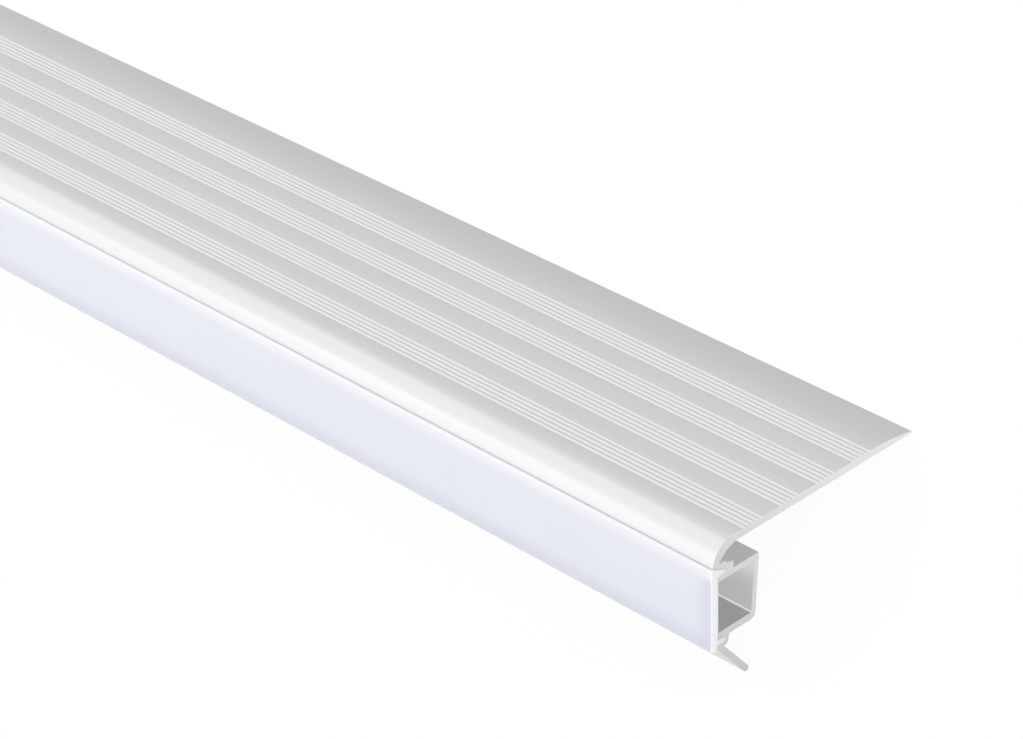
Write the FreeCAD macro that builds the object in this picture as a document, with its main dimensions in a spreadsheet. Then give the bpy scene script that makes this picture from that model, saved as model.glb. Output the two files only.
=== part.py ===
import FreeCAD, Part
import math
import os
import Sketcher

# Stair nosing with a light channel: one aluminium extrusion and the opal cover that
# snaps into its front. Both are straight sections run out along X.
# A section is drawn as it is mounted on a step: Y runs from the front of the nose to
# the back of the tread, Z runs up, and the underside of the tread is level 0.
# The finished pieces are then turned about X to lie as they come to rest on a floor.

# Driving sizes in millimetres, angles in degrees.
DRIVING = {
    "stock_length": 1000,
    "tread_depth": 60,
    "tread_thickness": 1.8,
    "back_edge_thickness": 0.4,
    "back_taper": 12.5,
    "nose_radius": 6,
    "nose_drop": 3.6,
    "nose_inner_radius": 7.5,
    "nose_inner_start": 7.9,
    # Fine grooves in the tread, in groups of equal spacing.
    "first_groove": 9.05,
    "groove_pitch": 1.24,
    "groove_width": 0.55,
    "groove_depth": 0.25,
    "grooves_in_group": 5,
    "group_pitch": 10.85,
    "group_count": 4,
    # Channel for the light strip, with the toothed lug that carries it.
    "slot_height": 6.05,
    "top_wall": 1.4,
    "strip_space": 12.1,
    "bottom_wall": 1.7,
    "back_wall": 1.3,
    "channel_depth": 13.5,
    "back_lean": 4,
    "back_corner_radius": 1.5,
    "channel_corner_radius": 0.4,
    "lug_depth": 6,
    "lug_step_depth": 3.9,
    "tooth_drop": 3.1,
    "tooth_rise": 0.45,
    "tooth_slope": 11,
    "tooth_tip_radius": 0.15,
    # Snap-in cover.
    "cover_proud": 0.5,
    "cover_thickness": 1.95,
    "cover_corner_radius": 0.7,
    "cover_fit": 0.15,
    "arm_reach": 2.3,
    "arm_thickness": 1.0,
    "arm_slope": 24,
    "arm_floor_drop": 0.3,
    "lip_drop": 1.3,
    # Hook under the channel and the slanted flange that grips the covering of the riser.
    "hook_wall": 0.9,
    "hook_lean": 12,
    "hook_root": 0.9,
    "hook_corner_radius": 0.9,
    "hook_inner_radius": 0.4,
    "flange_toe": 1.25,
    "flange_run": 11.9,
    "flange_thickness": 1.5,
    "flange_angle": 50,
}

# Depths and levels that follow from the driving sizes, in the order they build on.
DERIVED = {
    # Tread: the back taper is an arc that leaves the flat top without a kink.
    "taper_start": "tread_depth - back_taper",
    "taper_fall": "tread_thickness - back_edge_thickness",
    "taper_radius": "(back_taper ^ 2 + taper_fall ^ 2) / (2 * taper_fall)",
    "taper_centre": "tread_thickness - taper_radius",
    # Nose: the inside is a flatter arc than the outside and starts further back.
    "nose_centre": "tread_thickness - nose_radius",
    "nose_inner_centre": "-nose_inner_radius",
    "nose_tip": "-nose_drop",
    # Light channel.
    "channel_top": "-slot_height",
    "channel_ceiling": "channel_top - top_wall",
    "channel_floor": "channel_ceiling - strip_space",
    "channel_bottom": "channel_floor - bottom_wall",
    "back_inside": "channel_depth - back_wall / cos(back_lean)",
    "ceiling_back": "back_inside - top_wall * tan(back_lean)",
    "floor_back": "ceiling_back - strip_space * tan(back_lean)",
    "bottom_back": "channel_depth - (channel_top - channel_bottom) * tan(back_lean)",
    # Cover, and the two grooves that its arms snap into.
    "cover_front": "-cover_proud",
    "cover_back": "cover_thickness - cover_proud",
    "wall_front": "cover_back + cover_fit",
    "arm_tip": "cover_back + arm_reach",
    "groove_back": "arm_tip + cover_fit",
    "groove_roof": "nose_tip - groove_back * tan(arm_slope)",
    "groove_floor": "channel_top - arm_floor_drop",
    "cover_top_front": "nose_tip - cover_fit - cover_front * tan(arm_slope)",
    "cover_top_tip": "nose_tip - cover_fit - arm_tip * tan(arm_slope)",
    "upper_arm_under": "groove_floor + cover_fit",
    "lower_arm_over": "channel_bottom - cover_fit",
    "lower_arm_under": "lower_arm_over - arm_thickness",
    "lip_radius": "cover_thickness / 2",
    "lip_centre_depth": "cover_back - lip_radius",
    "lip_bottom": "lower_arm_under - lip_drop",
    "lip_centre": "lip_bottom + lip_radius",
    # Hook and flange.
    "hook_floor": "lower_arm_under - cover_fit",
    "hook_back": "groove_back + hook_wall",
    "hook_bottom": "hook_floor - hook_root",
    "hook_low_back": "hook_back - (channel_bottom - hook_bottom) * tan(hook_lean)",
    "toe_level": "hook_floor - flange_toe",
    "flange_radius": "flange_thickness / 2",
    "flange_low_depth": "wall_front + flange_run * cos(flange_angle)",
    "flange_low": "toe_level - flange_run * sin(flange_angle)",
    "flange_end_depth": "flange_low_depth + flange_radius * sin(flange_angle)",
    "flange_end": "flange_low + flange_radius * cos(flange_angle)",
    "flange_up_depth": "flange_end_depth + flange_radius * sin(flange_angle)",
    "flange_up": "flange_end + flange_radius * cos(flange_angle)",
    "flange_root_depth": "flange_up_depth - (hook_bottom - flange_up) / tan(flange_angle)",
    # Toothed lug: each tooth's top falls towards the back.
    "tooth_root_front": "-tooth_drop",
    "tooth_height": "tooth_root_front - nose_inner_centre",
    "tooth_front": "nose_inner_start - sqrt(nose_inner_radius ^ 2 - tooth_height ^ 2)",
    "tooth_tip_front": "tooth_root_front - lug_step_depth * tan(tooth_slope) / 2",
    "tooth_root_back": "tooth_tip_front - tooth_rise",
    "tooth_tip_back": "tooth_root_back - (lug_depth - lug_step_depth) * tan(tooth_slope)",
    # Grooves.
    "groups_run": "(group_count - 1) * group_pitch",
    # Lying on the floor: the back edge of the tread and the round end of the flange
    # touch it, so the floor is the line from that corner that just touches the round.
    "rest_drop": "-flange_end",
    "rest_run": "tread_depth - flange_end_depth",
    "rest_tilt": "atan(rest_drop / rest_run) + asin(flange_radius / sqrt(rest_drop ^ 2 + rest_run ^ 2))",
    "rest_turn": "-rest_tilt",
    "rest_back": "tread_depth * cos(rest_tilt) + back_edge_thickness * sin(rest_tilt)",
    "rest_front": "lip_centre_depth * cos(rest_tilt) + lip_centre * sin(rest_tilt) - lip_radius",
    "rest_shift": "-(rest_back + rest_front) / 2",
    "rest_lift": "tread_depth * sin(rest_tilt)",
}

# A corner that lies on an axis of its section is pinned to that axis.
AXIS = None
NOSE_INSIDE = ("nose_inner_start", "nose_inner_centre")

# The rounded long edges of the extrusion: name, where they run, and their radius.
NOSING_ROUNDS = [
    ("channel_back_corner", [("bottom_back", "channel_bottom")], "back_corner_radius"),
    ("hook_corner", [("hook_low_back", "hook_bottom")], "hook_corner_radius"),
    ("hook_inner_corner", [("hook_back", "channel_bottom")], "hook_inner_radius"),
    (
        "channel_inner_corners",
        [("ceiling_back", "channel_ceiling"), ("floor_back", "channel_floor")],
        "channel_corner_radius",
    ),
    (
        "tooth_tips",
        [("lug_step_depth", "tooth_tip_front"), ("lug_depth", "tooth_tip_back")],
        "tooth_tip_radius",
    ),
]

# How a sketch counts its axes and origin, and the ends and centre of an edge.
LEVEL_AXIS, UP_AXIS, ORIGIN = -1, -2, (-1, 1)
START, END, CENTRE = 1, 2, 3

# How far a straight edge's length may be from the stock's to count as a long edge.
LENGTH_TOLERANCE = 0.01


def make_sheet(doc):
    """The spreadsheet: driving sizes as plain numbers, then the formulas that use them."""
    sheet = doc.addObject("Spreadsheet::Sheet", "Sizes")
    cells = {name: str(size) for name, size in DRIVING.items()}
    cells.update({name: "=" + formula for name, formula in DERIVED.items()})
    for row, (name, content) in enumerate(cells.items(), start=1):
        sheet.set(f"A{row}", name)
        sheet.set(f"B{row}", content)
        sheet.setAlias(f"B{row}", name)
    doc.recompute()
    return sheet


def size(sheet, name):
    """The present value of one named cell."""
    return 0.0 if name is AXIS else float(getattr(sheet, name))


def make_sketch(body, name):
    """An empty sketch on the body's YZ plane, which cuts the stock at mid length."""
    sketch = body.newObject("Sketcher::SketchObject", name)
    plane = next(item for item in body.Origin.OriginFeatures if item.Role == "YZ_Plane")
    sketch.AttachmentSupport = [(plane, "")]
    sketch.MapMode = "FlatFace"
    return sketch


def tie(sketch, kind, edge, end, distance, formula):
    """Hold one end of an edge at a distance from the origin that follows a formula."""
    constraint = Sketcher.Constraint(kind, *ORIGIN, edge, end, distance)
    index = sketch.addConstraint(constraint)
    sketch.setExpression(f"Constraints[{index}]", formula)


def pin(sketch, sheet, edge, end, depth, level, coordinates="yz"):
    """Tie one end or centre of an edge to the named depth and level."""
    ties = (("y", "DistanceX", depth, UP_AXIS), ("z", "DistanceY", level, LEVEL_AXIS))
    for coordinate, kind, name, axis in ties:
        if coordinate not in coordinates:
            continue
        if name is AXIS:
            sketch.addConstraint(Sketcher.Constraint("PointOnObject", edge, end, axis))
            continue
        tie(sketch, kind, edge, end, size(sheet, name), f"Sizes.{name}")


class Bend:
    """A corner that starts an arc: its centre, and the one coordinate its far end needs."""

    def __init__(self, depth, level, centre, far_end, clockwise=False):
        self.corner = (depth, level)
        self.centre = centre
        self.far_end = far_end
        self.clockwise = clockwise


def draw_outline(sketch, sheet, outline):
    """Draw a closed outline of straight edges and arcs through the named corners."""
    corners = [item.corner if isinstance(item, Bend) else item for item in outline]
    points = [FreeCAD.Vector(size(sheet, y), size(sheet, z), 0) for y, z in corners]
    for index, item in enumerate(outline):
        if not isinstance(item, Bend):
            continue
        # The far end of an arc is put on its circle before the solver sees it.
        centre = FreeCAD.Vector(*(size(sheet, name) for name in item.centre), 0)
        radius = points[index].distanceToPoint(centre)
        following = (index + 1) % len(points)
        far = points[following] - centre
        if item.far_end == "y":
            far.y = math.copysign(math.sqrt(radius ** 2 - far.x ** 2), far.y)
        else:
            far.x = math.copysign(math.sqrt(radius ** 2 - far.y ** 2), far.x)
        points[following] = centre + far

    ends = []
    for index, item in enumerate(outline):
        here, there = points[index], points[(index + 1) % len(points)]
        if not isinstance(item, Bend):
            edge = sketch.addGeometry(Part.LineSegment(here, there))
            ends.append((edge, START, END))
            continue
        centre = FreeCAD.Vector(*(size(sheet, name) for name in item.centre), 0)
        first, last = (there, here) if item.clockwise else (here, there)
        angles = [math.atan2((p - centre).y, (p - centre).x) for p in (first, last)]
        if angles[1] < angles[0]:
            angles[1] += 2 * math.pi
        circle = Part.Circle(centre, FreeCAD.Vector(0, 0, 1), here.distanceToPoint(centre))
        edge = sketch.addGeometry(Part.ArcOfCircle(circle, *angles))
        ends.append((edge, END, START) if item.clockwise else (edge, START, END))

    for index, (edge, near, far) in enumerate(ends):
        next_edge, next_near, _ = ends[(index + 1) % len(ends)]
        sketch.addConstraint(Sketcher.Constraint("Coincident", edge, far, next_edge, next_near))
    for index, item in enumerate(outline):
        edge, near, _ = ends[index]
        before = outline[index - 1]
        coordinates = before.far_end if isinstance(before, Bend) else "yz"
        pin(sketch, sheet, edge, near, *corners[index], coordinates)
        if isinstance(item, Bend):
            pin(sketch, sheet, edge, CENTRE, *item.centre)


def extrude(body, sketch, name):
    """Run a section out to the stock's length, half to each side of mid length."""
    pad = body.newObject("PartDesign::Pad", name)
    pad.Profile = sketch
    pad.SideType = "Symmetric"
    pad.setExpression("Length", "Sizes.stock_length")
    sketch.Visibility = False
    return pad


def round_edges(body, sheet, name, corners, radius):
    """Round the long edges that run through the named depths and levels."""
    base = body.Tip
    edges = base.Shape.Edges
    length = size(sheet, "stock_length")
    along = [i for i, e in enumerate(edges) if abs(e.BoundBox.XLength - length) < LENGTH_TOLERANCE]
    found = []
    for depth, level in corners:
        target = FreeCAD.Vector(0, size(sheet, depth), size(sheet, level))
        nearest = min(along, key=lambda i: edges[i].CenterOfMass.distanceToPoint(target))
        found.append(f"Edge{nearest + 1}")
    fillet = body.newObject("PartDesign::Fillet", name)
    fillet.Base = (base, found)
    fillet.setExpression("Radius", f"Sizes.{radius}")


def nosing_section():
    """The die's outline, from the back edge over the nose and round the channel."""
    return [
        ("tread_depth", AXIS),
        Bend("tread_depth", "back_edge_thickness", ("taper_start", "taper_centre"), "y"),
        ("taper_start", "tread_thickness"),
        Bend("nose_radius", "tread_thickness", ("nose_radius", "nose_centre"), "z"),
        (AXIS, "nose_tip"),
        # Upper groove, which takes the sloping arm of the cover.
        ("groove_back", "groove_roof"),
        ("groove_back", "groove_floor"),
        ("wall_front", "groove_floor"),
        # Inside of the light channel.
        ("wall_front", "channel_ceiling"),
        ("ceiling_back", "channel_ceiling"),
        ("floor_back", "channel_floor"),
        ("wall_front", "channel_floor"),
        # Lower groove, inside the hook.
        ("wall_front", "channel_bottom"),
        ("groove_back", "channel_bottom"),
        ("groove_back", "hook_floor"),
        ("wall_front", "hook_floor"),
        # Slanted flange with its round end.
        ("wall_front", "toe_level"),
        Bend("flange_low_depth", "flange_low", ("flange_end_depth", "flange_end"), "y"),
        ("flange_up_depth", "flange_up"),
        ("flange_root_depth", "hook_bottom"),
        # Back of the hook, and the outside of the channel.
        ("hook_low_back", "hook_bottom"),
        ("hook_back", "channel_bottom"),
        ("bottom_back", "channel_bottom"),
        ("channel_depth", "channel_top"),
        # Lug with its two teeth, up to the inside of the nose.
        ("lug_depth", "channel_top"),
        ("lug_depth", "tooth_tip_back"),
        ("lug_step_depth", "tooth_root_back"),
        ("lug_step_depth", "tooth_tip_front"),
        Bend("tooth_front", "tooth_root_front", NOSE_INSIDE, "y", clockwise=True),
        ("nose_inner_start", AXIS),
    ]


def cover_section():
    """The cover's outline, from its top corner down the front and back up the inside."""
    return [
        ("cover_front", "cover_top_front"),
        Bend("cover_front", "lip_centre", ("lip_centre_depth", "lip_centre"), "z"),
        ("cover_back", "lip_centre"),
        ("cover_back", "lower_arm_under"),
        ("arm_tip", "lower_arm_under"),
        ("arm_tip", "lower_arm_over"),
        ("cover_back", "lower_arm_over"),
        ("cover_back", "upper_arm_under"),
        ("arm_tip", "upper_arm_under"),
        ("arm_tip", "cover_top_tip"),
    ]


def cut_grooves(body, sheet):
    """One group of V grooves, cut along the whole tread and repeated towards the back."""
    sketch = make_sketch(body, "groove_section")
    half = size(sheet, "groove_width") / 2
    top = size(sheet, "tread_thickness")
    bottom = top - size(sheet, "groove_depth")
    mouth = "Sizes.tread_thickness"
    root = "Sizes.tread_thickness - Sizes.groove_depth"
    for number in range(int(size(sheet, "grooves_in_group"))):
        middle = size(sheet, "first_groove") + number * size(sheet, "groove_pitch")
        formula = f"Sizes.first_groove + {number} * Sizes.groove_pitch"
        corners = [
            (middle + half, top, formula + " + Sizes.groove_width / 2", mouth),
            (middle - half, top, formula + " - Sizes.groove_width / 2", mouth),
            (middle, bottom, formula, root),
        ]
        points = [FreeCAD.Vector(depth, level, 0) for depth, level, _, _ in corners]
        following = points[1:] + points[:1]
        edges = [sketch.addGeometry(Part.LineSegment(*pair)) for pair in zip(points, following)]
        for i, (depth, level, across, up) in enumerate(corners):
            join = Sketcher.Constraint("Coincident", edges[i - 1], END, edges[i], START)
            sketch.addConstraint(join)
            tie(sketch, "DistanceX", edges[i], START, depth, across)
            tie(sketch, "DistanceY", edges[i], START, level, up)
    pocket = body.newObject("PartDesign::Pocket", "groove_group")
    pocket.Profile = sketch
    pocket.Type = "ThroughAll"
    pocket.SideType = "Symmetric"
    sketch.Visibility = False
    pattern = body.newObject("PartDesign::LinearPattern", "groove_groups")
    pattern.Originals = [pocket]
    axis = next(item for item in body.Origin.OriginFeatures if item.Role == "Y_Axis")
    pattern.Direction = (axis, [""])
    pattern.setExpression("Length", "Sizes.groups_run")
    pattern.setExpression("Occurrences", "Sizes.group_count")
    body.Tip = pattern


def lay_down(body):
    """Turn the piece about X and shift it to where it rests, centred on the origin."""
    body.Placement.Rotation = FreeCAD.Rotation(FreeCAD.Vector(1, 0, 0), 1)
    body.setExpression("Placement.Rotation.Angle", "Sizes.rest_turn")
    body.setExpression("Placement.Base.y", "Sizes.rest_shift")
    body.setExpression("Placement.Base.z", "Sizes.rest_lift")


def make_nosing(doc, sheet):
    """The aluminium extrusion: grooved tread, nose, lug, light channel, hook and flange."""
    body = doc.addObject("PartDesign::Body", "nosing_profile")
    sketch = make_sketch(body, "nosing_section")
    draw_outline(sketch, sheet, nosing_section())
    extrude(body, sketch, "nosing_stock")
    for name, corners, radius in NOSING_ROUNDS:
        doc.recompute()
        round_edges(body, sheet, name, corners, radius)
    cut_grooves(body, sheet)
    lay_down(body)
    return body


def make_cover(doc, sheet):
    """The opal cover: front plate with a round lower lip and two arms behind it."""
    body = doc.addObject("PartDesign::Body", "diffuser_cover")
    sketch = make_sketch(body, "cover_section")
    draw_outline(sketch, sheet, cover_section())
    extrude(body, sketch, "cover_stock")
    doc.recompute()
    top_corner = [("cover_front", "cover_top_front")]
    round_edges(body, sheet, "cover_corner", top_corner, "cover_corner_radius")
    lay_down(body)
    return body


def check(doc, pieces):
    """Stop if any object of the document failed, or a piece has no sound solid."""
    for item in doc.Objects:
        if "Invalid" in item.State or "Error" in item.State:
            raise RuntimeError(f"{item.Name} failed: {item.State}")
    for piece in pieces:
        if piece.Shape.isNull() or not piece.Shape.isValid() or len(piece.Shape.Solids) != 1:
            raise RuntimeError(f"{piece.Label} has no single valid solid")


def main():
    doc = FreeCAD.newDocument("stair_nosing")
    sheet = make_sheet(doc)
    pieces = [make_nosing(doc, sheet), make_cover(doc, sheet)]
    doc.recompute()
    check(doc, pieces)
    os.makedirs("parts", exist_ok=True)
    for piece in pieces:
        piece.Shape.exportStep(f"parts/{piece.Label}.step")
        box = piece.Shape.BoundBox
        print(piece.Label, "volume", round(piece.Shape.Volume), "box", box)


main()
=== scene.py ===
import math
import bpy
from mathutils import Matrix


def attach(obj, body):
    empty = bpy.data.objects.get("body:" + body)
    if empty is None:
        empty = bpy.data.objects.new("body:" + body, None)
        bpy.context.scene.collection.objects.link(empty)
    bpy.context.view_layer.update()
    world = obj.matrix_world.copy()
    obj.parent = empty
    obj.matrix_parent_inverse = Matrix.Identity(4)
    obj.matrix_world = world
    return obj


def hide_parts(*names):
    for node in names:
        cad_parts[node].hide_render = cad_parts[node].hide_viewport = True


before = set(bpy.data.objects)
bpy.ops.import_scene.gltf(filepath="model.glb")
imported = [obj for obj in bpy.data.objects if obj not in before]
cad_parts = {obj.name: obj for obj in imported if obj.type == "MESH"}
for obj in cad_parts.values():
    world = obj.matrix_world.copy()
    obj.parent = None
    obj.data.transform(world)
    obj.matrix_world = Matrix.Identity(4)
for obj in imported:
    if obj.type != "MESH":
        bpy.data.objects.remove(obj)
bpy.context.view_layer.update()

from types import SimpleNamespace

import bmesh
import bpy
from bpy.props import FloatProperty, FloatVectorProperty, IntProperty, PointerProperty
from mathutils import Matrix, Vector

# Stair nosing with a light channel: a satin aluminium extrusion and the opal cover that
# snaps into its front. A section is drawn in millimetres as it is mounted, with Y from the
# front of the nose to the back of the tread and Z up from the tread's underside, then
# turned to lie as the piece rests on the floor.

bl_info = {
    "name": "Stair nosing",
    "version": (1, 0, 0),
    "blender": (4, 5, 0),
    "location": "3D View > Sidebar > Stair nosing",
    "description": "A lit stair nosing from its section sizes, with its finishes and a studio",
    "category": "Add Mesh",
}

MM = 0.001
QUARTER = math.pi / 2

# How finely a section is drawn: the turn from point to point along an arc and round a broken
# corner, the opening from which a corner counts as straight, and the bend that shows as an
# edge. Points nearer than the weld, in metres, become one.
ARC_STEP = math.radians(4)
CORNER_STEP = math.radians(14)
STRAIGHT = math.radians(178)
SHARP = math.radians(32)
WELD = 1e-6

# A corner takes at most this share of the sides next to it. A break, which is a corner of
# less than this radius in millimetres, takes less.
CORNER_SHARE = 0.85
BREAK_SHARE = 0.4
BREAK_RADIUS = 0.2

# Grain of the patterns in a millimetre: along the stock, across it and upwards.
FINE_LINES = (0.002, 1.5, 1.5)
BROAD_LINES = (0.0012, 0.16, 0.16)
SATIN_GRAIN = (5, 5, 5)
SAW_MARKS = (0.3, 0.3, 6)
FLOW_MARKS = (0.003, 0.14, 0.14)
CLOUDS = (0.025, 0.06, 0.06)

# Where a pattern starts to show and how fast it grows from there, the share of its ground
# colour that it has at its darkest, and how far it makes the roughness stray.
STREAK_SPREAD, FLOW_SPREAD = (0.36, 1.5), (0.35, 2.0)
SAW_SHADE, FLOW_SHADE = 0.92, 0.985
METAL_STRAY, OPAL_STRAY = 0.05, 0.08

# Places in the section, in millimetres. The first two are how near to a face a point counts
# as lying on it. The painted shade on the channel's back deepens from below its ceiling to
# above its floor, and the opal's painted shade and light change towards a cut end, above its
# lip and round the floor of the upper groove.
ON_FACE = 0.3
ON_CUT = 0.05
BACK_SHADE_FADE = (1.0, 5.0)
END_SHADE_FADE = (5.0, 0.5)
LIP_SHADE_FADE = 5.5
ARM_LIGHT_FADE = (1.0, 1.2)

# The floor: how far it reaches, and from where to where along Y its mirrored level changes
# past a cut end and behind the channel, in metres. That level is painted shade below a cut
# end and behind the channel, and a painted glow, brighter than white, beside a cut end.
FLOOR_REACH = 8.0
END_RISE = (-0.035, 0.005)
TREAD_FALL = (0.012, 0.034)

# The two softboxes stand at one distance from a point near the cut end, in metres.
LAMP_TARGET = (0.28, 0, 0.02)
LAMP_DISTANCE = 1.5

# The outputs used of the Texture Coordinate and Light Path nodes, by their numbers.
NORMAL, OBJECT = 1, 3
CAMERA_RAY, GLOSSY_RAY, TRANSMISSION_RAY = 0, 3, 6


def length(name, millimetres, description):
    """A size of the section, kept in metres."""
    return FloatProperty(
        name=name, description=description, default=millimetres * MM, min=0.0,
        precision=5, subtype="DISTANCE", unit="LENGTH",
    )


def angle(name, degrees, description):
    """An angle of the section."""
    return FloatProperty(
        name=name, description=description, default=math.radians(degrees),
        subtype="ANGLE", unit="ROTATION",
    )


def colour(name, value, description):
    """A finish's colour."""
    return FloatVectorProperty(
        name=name, description=description, default=value, size=3, min=0.0, max=1.0,
        subtype="COLOR",
    )


def share(name, value, description, top=1.0):
    """A plain number from nought up."""
    return FloatProperty(name=name, description=description, default=value, min=0.0, max=top)


class NosingSizes(bpy.types.PropertyGroup):
    """Sizes of the aluminium extrusion's section."""

    stock_length: length("Stock length", 1000, "Length of the stock along X")
    tread_depth: length("Tread depth", 60, "From the front of the nose to the back edge")
    tread_thickness: length("Tread thickness", 1.8, "Thickness of the tread plate")
    back_edge: length("Back edge", 0.4, "Thickness of the thin back edge")
    back_taper: length("Back taper", 12.5, "Depth over which the tread thins out")
    nose_radius: length("Nose radius", 6, "Outside radius of the nose")
    nose_drop: length("Nose drop", 3.6, "How far the nose reaches below the tread's underside")
    nose_inner_radius: length("Inner nose radius", 7.5, "Radius inside the nose")
    nose_inner_start: length("Inner nose start", 7.9, "Where the nose's inside starts to bend")
    first_groove: length("First groove", 9.05, "From the front of the nose to the first groove")
    groove_pitch: length("Groove pitch", 1.24, "From one groove to the next in a group")
    groove_width: length("Groove width", 0.62, "Width of a groove at its mouth")
    groove_depth: length("Groove depth", 0.26, "Depth of a groove")
    groove_lean: length("Groove lean", 0.15, "How far before its middle a groove is deepest")
    group_pitch: length("Group pitch", 10.85, "From one group of grooves to the next")
    grooves_in_group: IntProperty(
        name="Grooves in a group", description="How many grooves a group has", default=5, min=1
    )
    group_count: IntProperty(
        name="Groups", description="How many groups of grooves the tread has", default=4, min=1
    )
    slot_height: length("Slot height", 6.05, "Height of the slot behind the nose")
    top_wall: length("Top wall", 1.4, "Thickness of the light channel's top wall")
    strip_space: length("Strip space", 12.1, "Inner height of the light channel")
    bottom_wall: length("Bottom wall", 1.7, "Thickness of the channel's bottom wall")
    back_wall: length("Back wall", 1.3, "Thickness of the channel's back wall")
    channel_depth: length("Channel depth", 13.5, "From the nose's front to the channel's back")
    back_lean: angle("Back lean", 4, "Lean of the channel's back wall")
    back_corner: length("Back corner", 1.5, "Radius of the channel's outer back corner")
    inner_corner: length("Inner corners", 0.4, "Radius of the channel's inner back corners")
    lug_depth: length("Lug depth", 6, "Back of the toothed lug")
    lug_step: length("Lug step", 3.9, "Where the lug steps down")
    tooth_drop: length("Tooth drop", 3.1, "Level of the first tooth's root below the tread")
    tooth_rise: length("Tooth rise", 0.45, "Height of the step between the teeth")
    tooth_slope: angle("Tooth slope", 11, "Fall of each tooth's top")
    tooth_tip: length("Tooth tip", 0.15, "Radius of the tips of the teeth")
    hook_wall: length("Hook wall", 0.9, "Thickness of the hook's wall")
    hook_lean: angle("Hook lean", 12, "Lean of the hook's back")
    hook_root: length("Hook root", 0.9, "Thickness of the metal under the hook's groove")
    hook_corner: length("Hook corner", 0.9, "Radius of the hook's outer corner")
    flange_toe: length("Flange toe", 1.25, "From the hook's floor to the flange's front edge")
    flange_run: length("Flange run", 11.9, "Length of the slanted flange")
    flange_thickness: length("Flange thickness", 1.5, "Thickness of the slanted flange")
    flange_angle: angle("Flange angle", 50, "Slant of the flange")
    edge_break: length("Edge break", 0.12, "Radius of the corners that the die leaves")
    rim_break: length("Rim break", 0.06, "Width of the break round a cut end")


class CoverSizes(bpy.types.PropertyGroup):
    """Sizes of the opal cover's section."""

    proud: length("Proud", 0.5, "How far the cover stands in front of the nose")
    thickness: length("Thickness", 1.95, "Thickness of the cover's front plate")
    top_corner: length("Top corner", 0.7, "Radius of the cover's top front corner")
    fit: length("Fit", 0.15, "Clearance that the grooves leave round the cover")
    gap: length("Gap", 0.02, "What shows of the clearance round the pressed-in cover")
    arm_reach: length("Arm reach", 2.3, "How far the two arms reach back")
    arm_thickness: length("Arm thickness", 1.0, "Thickness of the lower arm")
    arm_slope: angle("Arm slope", 24, "Slope of the upper arm's top")
    arm_floor_drop: length("Arm floor drop", 0.3, "Drop of the upper groove's floor")
    lip_drop: length("Lip drop", 1.3, "How far the round lower lip hangs below the lower arm")


class FinishSettings(bpy.types.PropertyGroup):
    """Colours and gloss of the two finishes, with painted light and shade on parts of them."""

    metal: colour("Satin aluminium", (0.69, 0.69, 0.69), "Colour of the anodised surface")
    metal_streak: colour("Die lines", (0.665, 0.665, 0.67), "Colour of the darkest die lines")
    metal_cut: colour("Cut end", (0.83, 0.83, 0.83), "Colour of the sawn ends")
    # Painted light: the channel's floor is made lighter than the metal, standing in for light
    # inside the channel.
    channel_floor_light: colour("Channel floor", (0.87, 0.87, 0.86), "Floor of the light channel")
    # Painted shade: the channel's back wall is made darker lower down in the recess.
    channel_back_shade: colour("Channel back", (0.57, 0.57, 0.56), "Low on the channel's back wall")
    metal_roughness: share("Metal roughness", 0.34, "Roughness of the anodised surface")
    cut_roughness: share("Cut roughness", 0.75, "Roughness of the sawn ends")
    opal: colour("Opal", (0.745, 0.76, 0.83), "Colour of the opal plastic")
    # Painted light: the opal is whiter where the upper arm doubles it, standing in for light the
    # thicker plastic scatters back.
    opal_arm_light: colour("Thick opal", (0.815, 0.825, 0.87), "Where the upper arm doubles it")
    # Painted shade: the opal is darker down by the round lip.
    opal_lip_shade: colour("Low opal", (0.65, 0.67, 0.745), "Down by the round lip, in its own shade")
    # Painted shade: the opal is darker beside a cut end, where light leaves it.
    opal_end_shade: colour("Opal end", (0.67, 0.69, 0.77), "Beside a cut end, where light leaves it")
    opal_cut: colour("Opal cut", (0.92, 0.94, 1.0), "Colour of the opal's sawn ends")
    opal_roughness: share("Opal roughness", 0.36, "Roughness of the opal plastic")


class StudioSettings(bpy.types.PropertyGroup):
    """Floor, lamps and camera."""

    lens: FloatProperty(
        name="Lens", description="Focal length for the sensor's full width",
        default=124.5446, subtype="DISTANCE_CAMERA",
    )
    eye: FloatVectorProperty(
        name="Eye", description="Where the camera stands", size=3, unit="LENGTH",
        subtype="TRANSLATION", default=(0.884735, -0.152746, 0.588439),
    )
    turn: FloatVectorProperty(
        name="Turn", description="How the camera is turned", size=3, unit="ROTATION",
        subtype="EULER", default=tuple(math.radians(a) for a in (33.3519, 24.7334, 39.2927)),
    )
    floor: colour("Floor", (0.88, 0.88, 0.88), "Colour of the floor")
    floor_glow: share("Floor glow", 0.95, "How much of the floor is plain white to the camera")
    # The floor's mirrored levels are painted: shade behind the tread and below a cut end, and a
    # glow beside a cut end.
    behind_tread_shade: share("Floor behind", 0.74, "How bright the tread mirrors the floor behind it")
    beside_end_glow: share(
        "Floor beside", 1.35, "How bright a cut end mirrors the floor beside it", 4.0
    )
    below_end_shade: share("Floor below", 0.8, "How bright the cut flange mirrors the floor below it")
    ambient: share("Ambient", 1.0, "Light that the surroundings give", 4.0)
    front_watts: share("Front lamp", 3.0, "Power of the large lamp before the nose, in watts", 50)
    top_watts: share("Top lamp", 3.2, "Power of the largest lamp overhead, in watts", 50)
    cover_watts: share("Through cover", 0.03, "Light that comes through the cover, in watts", 50)


def own_properties(group):
    """The names of the properties that a group itself defines."""
    return [name for name in group.bl_rna.properties.keys() if name not in ("rna_type", "name")]


def millimetres(group):
    """A group's sizes as plain numbers: lengths in millimetres, angles in radians."""
    found = {}
    for name in own_properties(group):
        value, kind = getattr(group, name), group.bl_rna.properties[name]
        found[name] = value / MM if kind.type == "FLOAT" and kind.unit == "LENGTH" else value
    return SimpleNamespace(**found)


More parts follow.
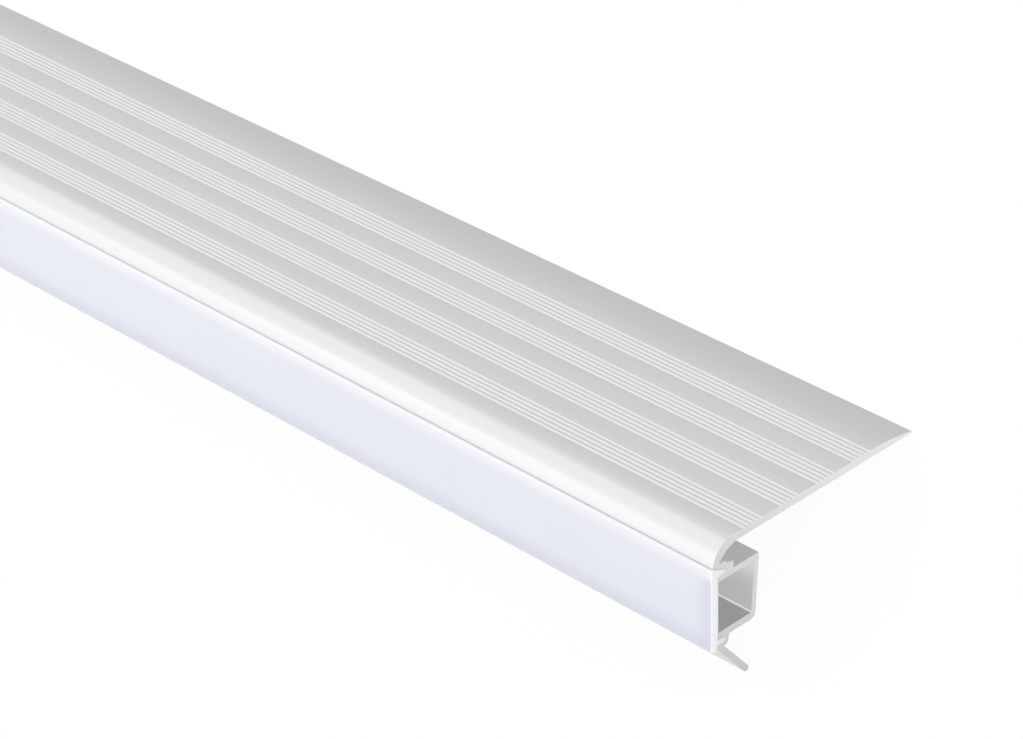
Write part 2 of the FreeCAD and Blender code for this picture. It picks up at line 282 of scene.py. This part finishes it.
class Section:
    """Depths and levels that follow from the sizes, and how the section lies at rest."""

    def __init__(self, scene):
        self.s, self.c = millimetres(scene.nosing_sizes), millimetres(scene.cover_sizes)
        self.place_channel()
        self.place_cover()
        self.place_hook()
        self.place_flange()
        self.lay_down()

    def place_channel(self):
        """The nose's centre, and the faces of the light channel."""
        s = self.s
        lean, wall = math.tan(s.back_lean), s.back_wall / math.cos(s.back_lean)
        self.nose_centre = s.tread_thickness - s.nose_radius
        self.ceiling = -s.slot_height - s.top_wall
        self.floor = self.ceiling - s.strip_space
        self.bottom = self.floor - s.bottom_wall
        self.ceiling_back = s.channel_depth - wall - s.top_wall * lean
        self.floor_back = self.ceiling_back - s.strip_space * lean
        self.bottom_back = s.channel_depth - (-s.slot_height - self.bottom) * lean

    def place_cover(self):
        """The cover's back and round lip, and the two grooves that take its arms."""
        s, c = self.s, self.c
        self.cover_back = c.thickness - c.proud
        self.wall_front = self.cover_back + c.fit
        self.groove_back = self.cover_back + c.arm_reach + c.fit
        self.groove_roof = -s.nose_drop - self.groove_back * math.tan(c.arm_slope)
        self.groove_floor = -s.slot_height - c.arm_floor_drop
        arm_under = self.bottom - c.fit - c.arm_thickness
        self.hook_floor = arm_under - c.fit
        self.lip_radius = c.thickness / 2
        self.lip_depth = self.cover_back - self.lip_radius
        self.lip_level = arm_under - c.lip_drop + self.lip_radius

    def place_hook(self):
        """The hook below the channel, round the cover's lower arm."""
        s = self.s
        self.hook_back = self.groove_back + s.hook_wall
        self.hook_bottom = self.hook_floor - s.hook_root
        self.hook_low = self.hook_back - (self.bottom - self.hook_bottom) * math.tan(s.hook_lean)

    def place_flange(self):
        """The slanted flange: its front edge, its round end and where it meets the hook."""
        s = self.s
        sine, cosine = math.sin(s.flange_angle), math.cos(s.flange_angle)
        self.toe = self.hook_floor - s.flange_toe
        self.end_radius = s.flange_thickness / 2
        self.end_depth = self.wall_front + s.flange_run * cosine + self.end_radius * sine
        self.end_level = self.toe - s.flange_run * sine + self.end_radius * cosine
        up_depth = self.end_depth + self.end_radius * sine
        up_level = self.end_level + self.end_radius * cosine
        self.flange_root = up_depth - (self.hook_bottom - up_level) / math.tan(s.flange_angle)

    def lay_down(self):
        """At rest the back edge of the tread and the flange's round end touch the floor."""
        s = self.s
        drop, run = -self.end_level, s.tread_depth - self.end_depth
        self.tilt = math.atan(drop / run) + math.asin(self.end_radius / math.hypot(drop, run))
        sine, cosine = math.sin(self.tilt), math.cos(self.tilt)
        back = s.tread_depth * cosine + s.back_edge * sine
        front = self.lip_depth * cosine + self.lip_level * sine - self.lip_radius
        self.shift, self.lift = -(back + front) / 2, s.tread_depth * sine

    def at_rest(self):
        """From millimetres in the section to metres in the frame."""
        place = Matrix.Translation(Vector((0, self.shift, self.lift)) * MM)
        return place @ Matrix.Rotation(-self.tilt, 4, "X") @ Matrix.Scale(MM, 4)

    def nosing_outline(self):
        """Corners of the extrusion's section, from the back edge over the nose and round."""
        s, b = self.s, self.s.edge_break
        fine, blunt = b / 2, b * 2
        # The thin back edge, and the curve up to the tread's full thickness.
        fall = s.tread_thickness - s.back_edge
        taper = (s.back_taper ** 2 + fall ** 2) / (2 * fall)
        taper_start = s.tread_depth - s.back_taper
        tail = math.asin(s.back_taper / taper)
        line = [(s.tread_depth, 0, b), (s.tread_depth, s.back_edge, b)]
        line += arc(taper_start, s.tread_thickness - taper, taper, QUARTER - tail, QUARTER)[1:]
        # The grooves in the tread.
        for group in reversed(range(s.group_count)):
            for number in reversed(range(s.grooves_in_group)):
                middle = s.first_groove + group * s.group_pitch + number * s.groove_pitch
                line += [
                    (middle + s.groove_width / 2, s.tread_thickness, fine),
                    (middle - s.groove_lean, s.tread_thickness - s.groove_depth, fine),
                    (middle - s.groove_width / 2, s.tread_thickness, fine),
                ]
        # The nose, almost crisp where it ends above the cover.
        last = math.pi - math.asin((-s.nose_drop - self.nose_centre) / s.nose_radius)
        nose = arc(s.nose_radius, self.nose_centre, s.nose_radius, QUARTER, last)
        line += nose[:-1] + [nose[-1][:2] + (fine / 2,)]
        # The upper groove, the inside of the light channel and the lower groove.
        line += [
            (self.groove_back, self.groove_roof, b), (self.groove_back, self.groove_floor, b),
            (self.wall_front, self.groove_floor, b), (self.wall_front, self.ceiling, b),
            (self.ceiling_back, self.ceiling, s.inner_corner),
            (self.floor_back, self.floor, s.inner_corner),
            (self.wall_front, self.floor, b), (self.wall_front, self.bottom, b),
            (self.groove_back, self.bottom, b), (self.groove_back, self.hook_floor, b),
            (self.wall_front, self.hook_floor, b), (self.wall_front, self.toe, b),
        ]
        # The flange's round end, the hook and the outside of the channel.
        down = QUARTER + s.flange_angle
        line += arc(self.end_depth, self.end_level, self.end_radius, -down, math.pi - down)
        line += [
            (self.flange_root, self.hook_bottom, b),
            (self.hook_low, self.hook_bottom, s.hook_corner),
            (self.hook_back, self.bottom, s.inner_corner),
            (self.bottom_back, self.bottom, s.back_corner),
            (s.channel_depth, -s.slot_height, blunt),
        ]
        # The lug with its two teeth, and the inside of the nose up to the tread's underside.
        slope = math.tan(s.tooth_slope)
        tip_front = -s.tooth_drop - s.lug_step * slope / 2
        root_back = tip_front - s.tooth_rise
        tip_back = root_back - (s.lug_depth - s.lug_step) * slope
        line += [
            (s.lug_depth, -s.slot_height, b), (s.lug_depth, tip_back, s.tooth_tip),
            (s.lug_step, root_back, fine), (s.lug_step, tip_front, s.tooth_tip),
        ]
        first = math.pi - math.asin((s.nose_inner_radius - s.tooth_drop) / s.nose_inner_radius)
        inside = arc(s.nose_inner_start, -s.nose_inner_radius, s.nose_inner_radius, first, QUARTER)
        return line + [inside[0][:2] + (fine,)] + inside[1:]

    def cover_outline(self):
        """Corners of the cover's section, down the front and back up behind it."""
        c, b, blunt = self.c, self.s.edge_break, self.s.edge_break * 2
        slope = math.tan(c.arm_slope)
        top, tip = -self.s.nose_drop - c.gap, self.groove_back - c.gap
        over, under = self.bottom - c.gap, self.hook_floor + c.gap
        back, shelf = self.wall_front - c.gap, self.groove_floor + c.gap
        line = [(-c.proud, top + c.proud * slope, c.top_corner)]
        line += arc(self.lip_depth, self.lip_level, self.lip_radius, math.pi, 2 * math.pi)
        line += [
            (self.cover_back, under, b), (tip, under, blunt), (tip, over, blunt),
            (back, over, b), (back, shelf, b), (tip, shelf, blunt),
            (tip, top - tip * slope, blunt),
        ]
        return line


def arc(depth, level, radius, start, stop):
    """Points on an arc, close enough together to look round, with no corner to break."""
    count = max(4, math.ceil(abs(stop - start) / ARC_STEP))
    turns = [start + (stop - start) * i / count for i in range(count + 1)]
    return [(depth + radius * math.cos(t), level + radius * math.sin(t), 0) for t in turns]


def broken(corners):
    """The outline with every corner rounded by its own radius, as far as its sides allow."""
    points = []
    for i, (depth, level, radius) in enumerate(corners):
        here = Vector((depth, level))
        before = Vector(corners[i - 1][:2]) - here
        after = Vector(corners[(i + 1) % len(corners)][:2]) - here
        opening = before.angle(after)
        if not radius or opening > STRAIGHT:
            points.append(here)
            continue
        most = BREAK_SHARE if radius < BREAK_RADIUS else CORNER_SHARE
        reach = min(radius / math.tan(opening / 2), most * before.length, most * after.length)
        radius = reach * math.tan(opening / 2)
        middle = here + (before.normalized() + after.normalized()).normalized() * (
            radius / math.sin(opening / 2))
        first = here + before.normalized() * reach - middle
        last = here + after.normalized() * reach - middle
        turn = math.pi - opening
        steps = max(2, math.ceil(turn / CORNER_STEP))
        for k in range(steps + 1):
            a = k / steps
            points.append(middle + (
                first * math.sin((1 - a) * turn) + last * math.sin(a * turn)) / math.sin(turn))
    return points


def ways_in(spots):
    """For each point of a closed outline, the way that moves both its sides one inwards."""
    sides = [(spots[(i + 1) % len(spots)] - p).normalized() for i, p in enumerate(spots)]
    area = sum(p.cross(spots[(i + 1) % len(spots)]).x for i, p in enumerate(spots))
    inside = Vector((math.copysign(1, area), 0, 0))
    normals = [inside.cross(side) for side in sides]
    return [
        (normals[i - 1] + normals[i]) / (1 + normals[i - 1].dot(normals[i]))
        for i in range(len(spots))
    ]


def run_out_tree(material):
    """Geometry nodes that run a flat section out along X and break the rims of its ends.

    The section's points carry their own way inwards, and the rings at both ends follow it.
    """
    tree = bpy.data.node_groups.new("run_out", "GeometryNodeTree")
    made = tree.interface
    made.new_socket("Section", in_out="INPUT", socket_type="NodeSocketGeometry")
    keys = [
        made.new_socket(name, in_out="INPUT", socket_type="NodeSocketFloat").identifier
        for name in ("Stock Length", "Rim Break")
    ]
    made.new_socket("Stock", in_out="OUTPUT", socket_type="NodeSocketGeometry")

    def node(kind, values, **settings):
        new = tree.nodes.new(kind)
        for name, value in settings.items():
            setattr(new, name, value)
        for name, value in values.items():
            if isinstance(value, bpy.types.NodeSocket):
                tree.links.new(value, new.inputs[name])
            else:
                new.inputs[name].default_value = value
        return new.outputs

    given = node("NodeGroupInput", {})
    section, run, rim = given["Section"], given["Stock Length"], given["Rim Break"]
    middle = node("ShaderNodeMath", {0: run, 1: rim}, operation="SUBTRACT")[0]
    middle = node("ShaderNodeMath", {0: middle, 1: rim}, operation="SUBTRACT")[0]
    stock, top = section, True
    for distance in (rim, middle, rim):
        along = node("ShaderNodeCombineXYZ", {"X": distance})[0]
        pushed = node("GeometryNodeExtrudeMesh", {
            "Mesh": stock, "Selection": top, "Offset": along, "Offset Scale": 1.0,
            "Individual": False,
        }, mode="FACES")
        stock, top = pushed["Mesh"], pushed["Top"]
    start = node("GeometryNodeFlipFaces", {"Mesh": section})[0]
    join = tree.nodes.new("GeometryNodeJoinGeometry")
    for part in (start, stock):
        tree.links.new(part, join.inputs[0])
    # Rings past the middle of a rim are the ends, and are drawn inwards.
    place = node("GeometryNodeInputPosition", {})[0]
    reach = node("ShaderNodeSeparateXYZ", {0: place})[0]
    reach = node("ShaderNodeMath", {0: reach}, operation="ABSOLUTE")[0]
    edge = node("ShaderNodeMath", {0: middle, 1: 0.5}, operation="MULTIPLY")[0]
    edge = node("ShaderNodeMath", {0: rim, 1: 0.5, 2: edge}, operation="MULTIPLY_ADD")[0]
    ends = node(
        "FunctionNodeCompare", {0: reach, 1: edge}, data_type="FLOAT", operation="GREATER_THAN"
    )[0]
    inwards = node(
        "GeometryNodeInputNamedAttribute", {"Name": "inwards"}, data_type="FLOAT_VECTOR"
    )[0]
    inwards = node("ShaderNodeVectorMath", {0: inwards, "Scale": rim}, operation="SCALE")[0]
    drawn = node("GeometryNodeSetPosition", {
        "Geometry": join.outputs[0], "Selection": ends, "Offset": inwards,
    })[0]
    weld = node("GeometryNodeMergeByDistance", {"Geometry": drawn, "Distance": WELD})[0]
    real = node("GeometryNodeRealizeInstances", {0: weld})[0]
    painted = node("GeometryNodeSetMaterial", {"Geometry": real, "Material": material})[0]
    node("NodeGroupOutput", {0: painted})
    return tree, keys


def make_stock(name, corners, section, scene, material):
    """One piece of the stock: its section run out, its cut rims broken, at its place."""
    sizes = scene.nosing_sizes
    points = broken(corners)
    place = section.at_rest()
    spots = [place @ Vector((0, p.x, p.y)) for p in points]
    half = sizes.stock_length / 2
    mesh = bpy.data.meshes.new(name)
    mesh.from_pydata([(-half, p.y, p.z) for p in spots], [], [range(len(spots))])
    if mesh.polygons[0].normal.x < 0:
        mesh.flip_normals()
    carried = mesh.attributes.new("inwards", "FLOAT_VECTOR", "POINT")
    for item, way in zip(carried.data, ways_in(spots)):
        item.vector = way
    rough = bpy.data.objects.new(name + "_section", mesh)
    scene.collection.objects.link(rough)
    run = rough.modifiers.new("Run out", "NODES")
    run.node_group, keys = run_out_tree(material)
    for key, value in zip(keys, (sizes.stock_length, sizes.rim_break)):
        run[key] = value
    bpy.context.view_layer.update()
    graph = bpy.context.evaluated_depsgraph_get()
    made = bpy.data.meshes.new_from_object(rough.evaluated_get(graph), depsgraph=graph)
    made.name = name
    bpy.data.objects.remove(rough)
    shell = bmesh.new()
    shell.from_mesh(made)
    bmesh.ops.recalc_face_normals(shell, faces=shell.faces)
    caps = [f for f in shell.faces if len(f.verts) > 4]
    bmesh.ops.triangulate(shell, faces=caps, ngon_method="EAR_CLIP")
    shell.to_mesh(made)
    shell.free()
    made.shade_smooth()
    made.set_sharp_from_angle(angle=SHARP)
    piece = bpy.data.objects.new(name, made)
    scene.collection.objects.link(piece)
    return piece


class Wire:
    """A number that varies over a surface; sums on it add Math nodes."""

    def __init__(self, paint, socket):
        self.paint, self.socket = paint, socket

    def _sum(self, operation, first, second, clamp=False):
        settings = {"operation": operation, "use_clamp": clamp}
        return self.paint.node("ShaderNodeMath", settings, {0: first, 1: second})[0]

    def __add__(self, other):
        return self._sum("ADD", self, other)

    def __radd__(self, other):
        return self._sum("ADD", other, self)

    def __sub__(self, other):
        return self._sum("SUBTRACT", self, other)

    def __rsub__(self, other):
        return self._sum("SUBTRACT", other, self)

    def __mul__(self, other):
        return self._sum("MULTIPLY", self, other)

    def __rmul__(self, other):
        return self._sum("MULTIPLY", other, self)

    def __gt__(self, other):
        return self._sum("GREATER_THAN", self, other)

    def __lt__(self, other):
        return self._sum("LESS_THAN", self, other)

    def size(self):
        return self._sum("ABSOLUTE", self, 0.0)

    def clamped(self):
        return self._sum("ADD", self, 0.0, True)

    def spread(self, start, gain):
        """How far it is past a start, times a gain, kept from 0 to 1."""
        return ((self - start) * gain).clamped()


class Paint:
    """A material or world under construction, and the one way that nodes are added to it."""

    def __init__(self, owner):
        owner.use_nodes = True
        self.owner, self.tree = owner, owner.node_tree
        self.tree.nodes.clear()

    def node(self, kind, settings=None, values=None):
        """Add a node, set it up, then link or fill its inputs. Its outputs come back."""
        new = self.tree.nodes.new(kind)
        for name, value in (settings or {}).items():
            setattr(new, name, value)
        for name, value in (values or {}).items():
            if isinstance(value, Wire):
                self.tree.links.new(value.socket, new.inputs[name])
            else:
                new.inputs[name].default_value = value
        return [Wire(self, out) for out in new.outputs]

    def blend(self, amount, first, second):
        """A colour between two others."""
        settings = {"data_type": "RGBA"}
        return self.node("ShaderNodeMix", settings, {0: amount, 6: first, 7: second})[2]

    def noise(self, place, grain, detail=2.0):
        """A soft random pattern from 0 to 1, with so much grain a millimetre each way."""
        settings = {"operation": "MULTIPLY"}
        place = self.node("ShaderNodeVectorMath", settings, {0: place, 1: grain})[0]
        values = {"Vector": place, "Scale": 1.0, "Detail": detail, "Roughness": 0.5}
        return self.node("ShaderNodeTexNoise", None, values)[0]

    def ramp(self, value, start, stop):
        """0 up to one value, 1 from another, and smooth between them."""
        settings = {"interpolation_type": "SMOOTHSTEP"}
        return self.node("ShaderNodeMapRange", settings, {0: value, 1: start, 2: stop})[0]

    def in_section(self, section):
        """Where a point lies in the mounted section, in millimetres."""
        return self.node("ShaderNodeMapping", {"vector_type": "TEXTURE"}, {
            "Vector": self.node("ShaderNodeTexCoord")[OBJECT],
            "Location": (0, section.shift * MM, section.lift * MM),
            "Rotation": (-section.tilt, 0, 0), "Scale": (MM, MM, MM),
        })[0]


def rgba(value):
    """A colour with its alpha."""
    return (*value, 1.0)


def paint_aluminium(scene, section):
    """Satin anodised aluminium with faint die lines, and sawn ends.

    Inside the light channel the floor has painted light, which makes it lighter, and the back
    wall has painted shade, which makes it darker lower down.
    """
    finish = scene.finish_settings
    paint = Paint(bpy.data.materials.new("satin_aluminium"))
    place = paint.in_section(section)
    _, depth, level = paint.node("ShaderNodeSeparateXYZ", None, {0: place})
    fine, saw = (paint.noise(place, marks) for marks in (FINE_LINES, SAW_MARKS))
    broad, grain = (paint.noise(place, marks, 1.0) for marks in (BROAD_LINES, SATIN_GRAIN))
    facing = paint.node("ShaderNodeTexCoord")[NORMAL]
    end = paint.node("ShaderNodeSeparateXYZ", None, {0: facing})[0].size() > 0.5

    streak = (0.6 * fine + 0.4 * broad).spread(*STREAK_SPREAD)
    skin = paint.blend(streak, rgba(finish.metal), rgba(finish.metal_streak))
    inside = (level > section.floor - ON_FACE) * (depth > section.wall_front + ON_FACE)
    inside = inside * (depth < section.ceiling_back + ON_FACE)
    # Painted shade low on the channel's back wall.
    low = paint.ramp(level, section.ceiling - BACK_SHADE_FADE[0], section.floor + BACK_SHADE_FADE[1])
    skin = paint.blend(inside * low, skin, rgba(finish.channel_back_shade))
    # Painted light on the channel's floor.
    floor_light_mask = inside * (level < section.floor + ON_FACE)
    skin = paint.blend(floor_light_mask, skin, rgba(finish.channel_floor_light))
    sawn = paint.blend(saw, rgba(finish.metal_cut), rgba(SAW_SHADE * Vector(finish.metal_cut)))
    tint = paint.blend(end, skin, sawn)

    worn = finish.metal_roughness + (fine - 0.5) * METAL_STRAY + (grain - 0.5) * METAL_STRAY
    rough = worn + end * (finish.cut_roughness - finish.metal_roughness)
    height = (1 - end) * (fine * 0.5 + grain * 0.25) + end * saw
    bump = paint.node("ShaderNodeBump", None, {
        "Strength": 0.12, "Distance": 0.02 * MM, "Height": height,
    })[0]
    body = paint.node("ShaderNodeBsdfPrincipled", None, {
        "Base Color": tint, "Metallic": 1.0, "Roughness": rough, "Normal": bump,
    })[0]
    paint.node("ShaderNodeOutputMaterial", None, {"Surface": body})
    return paint.owner


def paint_opal(scene, section):
    """Opal plastic: cool white with faint flow marks along its length.

    It has painted shade beside a cut end, where light leaves it, and down by the round lip,
    painted light where the upper arm doubles it, and is nearly white on the sawn ends.
    """
    finish = scene.finish_settings
    paint = Paint(bpy.data.materials.new("opal_plastic"))
    place = paint.in_section(section)
    along, _, level = paint.node("ShaderNodeSeparateXYZ", None, {0: place})
    flow, cloud = (paint.noise(place, marks) for marks in (FLOW_MARKS, CLOUDS))
    marks = ((flow + cloud) * 0.5).spread(*FLOW_SPREAD)
    tint = paint.blend(marks, rgba(finish.opal), rgba(FLOW_SHADE * Vector(finish.opal)))
    half = scene.nosing_sizes.stock_length / 2 / MM
    lip = section.lip_level - section.lip_radius
    shelf = section.groove_floor
    # Painted shade beside a cut end and down by the lip, painted light where the upper arm doubles
    # the opal, then the sawn ends' own colour.
    shades = (
        (paint.ramp(along.size(), half - END_SHADE_FADE[0], half - END_SHADE_FADE[1]), finish.opal_end_shade),
        (paint.ramp(level, lip + LIP_SHADE_FADE, lip), finish.opal_lip_shade),
        (paint.ramp(level, shelf - ARM_LIGHT_FADE[0], shelf + ARM_LIGHT_FADE[1]), finish.opal_arm_light),
        (along.size() > half - ON_CUT, finish.opal_cut),
    )
    for amount, shade in shades:
        tint = paint.blend(amount, tint, rgba(shade))
    rough = finish.opal_roughness + (flow - 0.5) * OPAL_STRAY
    body = paint.node("ShaderNodeBsdfPrincipled", None, {
        "Base Color": tint, "Roughness": rough, "IOR": 1.49, "Subsurface Weight": 1.0,
        "Subsurface Radius": (1.0, 1.0, 1.0), "Subsurface Scale": 0.8 * MM,
    })[0]
    paint.node("ShaderNodeOutputMaterial", None, {"Surface": body})
    return paint.owner


class NOSING_OT_profile(bpy.types.Operator):
    """Build the aluminium extrusion"""

    bl_idname = "nosing.profile"
    bl_label = "Aluminium extrusion"

    def execute(self, context):
        scene = context.scene
        section = Section(scene)
        outline, material = section.nosing_outline(), paint_aluminium(scene, section)
        piece = make_stock("aluminium_extrusion", outline, section, scene, material)
        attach(piece, "root")
        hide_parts("nosing_profile")
        return {"FINISHED"}


class NOSING_OT_cover(bpy.types.Operator):
    """Build the opal cover"""

    bl_idname = "nosing.cover"
    bl_label = "Opal cover"

    def execute(self, context):
        scene = context.scene
        section = Section(scene)
        outline, material = section.cover_outline(), paint_opal(scene, section)
        piece = make_stock("opal_cover", outline, section, scene, material)
        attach(piece, "root")
        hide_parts("diffuser_cover")
        return {"FINISHED"}


def light_the_world(scene):
    """Even surroundings, plain white to the camera, in reflections and through glass."""
    studio = scene.studio_settings
    world = bpy.data.worlds.new("studio")
    scene.world = world
    paint = Paint(world)
    path = paint.node("ShaderNodeLightPath")
    seen = (path[CAMERA_RAY] + path[GLOSSY_RAY] + path[TRANSMISSION_RAY]).clamped()
    strength = seen + (1 - seen) * studio.ambient
    white = {"Color": rgba((1, 1, 1)), "Strength": strength}
    back = paint.node("ShaderNodeBackground", None, white)[0]
    paint.node("ShaderNodeOutputWorld", None, {"Surface": back})


def lay_the_floor(scene):
    """A plain pale floor that keeps the shadow and is white to the camera.

    As the metal mirrors it, its level changes: painted shade below a cut end and behind, and a
    painted glow beside a cut end.
    """
    studio = scene.studio_settings
    mesh = bpy.data.meshes.new("floor")
    r = FLOOR_REACH
    mesh.from_pydata([(-r, -r, 0), (r, -r, 0), (r, r, 0), (-r, r, 0)], [], [(0, 1, 2, 3)])
    floor = bpy.data.objects.new("floor", mesh)
    scene.collection.objects.link(floor)
    paint = Paint(bpy.data.materials.new("pale_floor"))
    path = paint.node("ShaderNodeLightPath")
    camera, glossy = path[CAMERA_RAY], path[GLOSSY_RAY]
    spot = paint.node("ShaderNodeTexCoord")[OBJECT]
    along, across, _ = paint.node("ShaderNodeSeparateXYZ", None, {0: spot})
    past_end = along > scene.nosing_sizes.stock_length / 2
    # Painted shade below a cut end and behind the tread, and a painted glow beside a cut end, as
    # the metal mirrors the floor.
    rise = paint.ramp(across, *END_RISE) * (studio.beside_end_glow - studio.below_end_shade)
    behind = 1 - paint.ramp(across, *TREAD_FALL) * (1 - studio.behind_tread_shade)
    mirrored = past_end * (studio.below_end_shade + rise) + (1 - past_end) * behind
    matt = paint.node("ShaderNodeBsdfDiffuse", None, {"Color": rgba(studio.floor)})[0]
    glow = paint.node("ShaderNodeEmission", None, {
        "Color": rgba((1, 1, 1)), "Strength": camera + glossy * mirrored,
    })[0]
    amount = (camera * studio.floor_glow + glossy).clamped()
    both = paint.node("ShaderNodeMixShader", None, {0: amount, 1: matt, 2: glow})[0]
    paint.node("ShaderNodeOutputMaterial", None, {"Surface": both})
    mesh.materials.append(paint.owner)


def add_lamp(scene, name, place, target, sides, watts):
    """A softbox that faces a point and doesn't show itself to the camera."""
    lamp = bpy.data.lights.new(name, "AREA")
    lamp.shape = "RECTANGLE"
    lamp.size, lamp.size_y = sides
    lamp.energy = watts
    holder = bpy.data.objects.new(name, lamp)
    holder.location = place
    holder.rotation_euler = (Vector(target) - Vector(place)).to_track_quat("-Z", "Y").to_euler()
    holder.visible_camera = False
    scene.collection.objects.link(holder)


def hang_the_lamps(scene):
    """Two large softboxes, before the nose and overhead."""
    studio, near = scene.studio_settings, Vector(LAMP_TARGET)
    lamps = (
        ("front_softbox", (-0.44, -0.77, 0.46), (1.5, 1.4), studio.front_watts),
        ("top_softbox", (-0.50, 0.03, 0.86), (2.0, 2.0), studio.top_watts),
    )
    for name, side, sides, watts in lamps:
        add_lamp(scene, name, near + LAMP_DISTANCE * Vector(side), near, sides, watts)


def light_the_channel(scene):
    """What the opal cover lets through from the front lights the inside of the channel.

    The lamp stays a little short of the channel's length and height.
    """
    sizes, section = scene.nosing_sizes, Section(scene)
    place, middle = section.at_rest(), (section.ceiling + section.floor) / 2
    depths = (section.wall_front, section.floor_back)
    front, back = (place @ Vector((0, depth, middle)) for depth in depths)
    sides = (0.995 * sizes.stock_length, 0.95 * sizes.strip_space)
    add_lamp(scene, "through_cover", front, back, sides, scene.studio_settings.cover_watts)


def stand_the_camera(scene):
    """The camera at the photograph's viewing angle."""
    studio = scene.studio_settings
    view = bpy.data.cameras.new("camera")
    view.lens = studio.lens
    view.sensor_width = 36.0
    view.clip_start, view.clip_end = 0.01, 50.0
    camera = bpy.data.objects.new("camera", view)
    camera.location = studio.eye
    camera.rotation_euler = studio.turn
    scene.collection.objects.link(camera)
    scene.camera = camera


class NOSING_OT_studio(bpy.types.Operator):
    """Lay the floor and set up the lamps, the surroundings and the camera"""

    bl_idname = "nosing.studio"
    bl_label = "Studio"

    def execute(self, context):
        scene = context.scene
        for step in (
            light_the_world, lay_the_floor, hang_the_lamps, light_the_channel, stand_the_camera,
        ):
            step(scene)
        scene.view_settings.view_transform = "Standard"
        return {"FINISHED"}


class NOSING_PT_panel(bpy.types.Panel):
    """Lists the pieces, their sizes and finishes, and the studio"""

    bl_label = "Stair nosing"
    bl_space_type = "VIEW_3D"
    bl_region_type = "UI"
    bl_category = "Stair nosing"

    def draw(self, context):
        scene = context.scene
        steps = (
            ("nosing.profile", scene.nosing_sizes), ("nosing.cover", scene.cover_sizes),
            (None, scene.finish_settings), ("nosing.studio", scene.studio_settings),
        )
        for operator, group in steps:
            box = self.layout.box()
            if operator:
                box.operator(operator)
            for name in own_properties(group):
                box.prop(group, name)


GROUPS = {
    "nosing_sizes": NosingSizes,
    "cover_sizes": CoverSizes,
    "finish_settings": FinishSettings,
    "studio_settings": StudioSettings,
}
OPERATORS = (NOSING_OT_profile, NOSING_OT_cover, NOSING_OT_studio)


def register():
    for kind in (*GROUPS.values(), *OPERATORS, NOSING_PT_panel):
        bpy.utils.register_class(kind)
    for name, kind in GROUPS.items():
        setattr(bpy.types.Scene, name, PointerProperty(type=kind))


def unregister():
    for name in GROUPS:
        delattr(bpy.types.Scene, name)
    for kind in reversed((*GROUPS.values(), *OPERATORS, NOSING_PT_panel)):
        bpy.utils.unregister_class(kind)


def main():
    """Register the add-on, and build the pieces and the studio."""
    register()
    bpy.ops.nosing.profile()
    bpy.ops.nosing.cover()
    bpy.ops.nosing.studio()


if __name__ == "__main__":
    main()
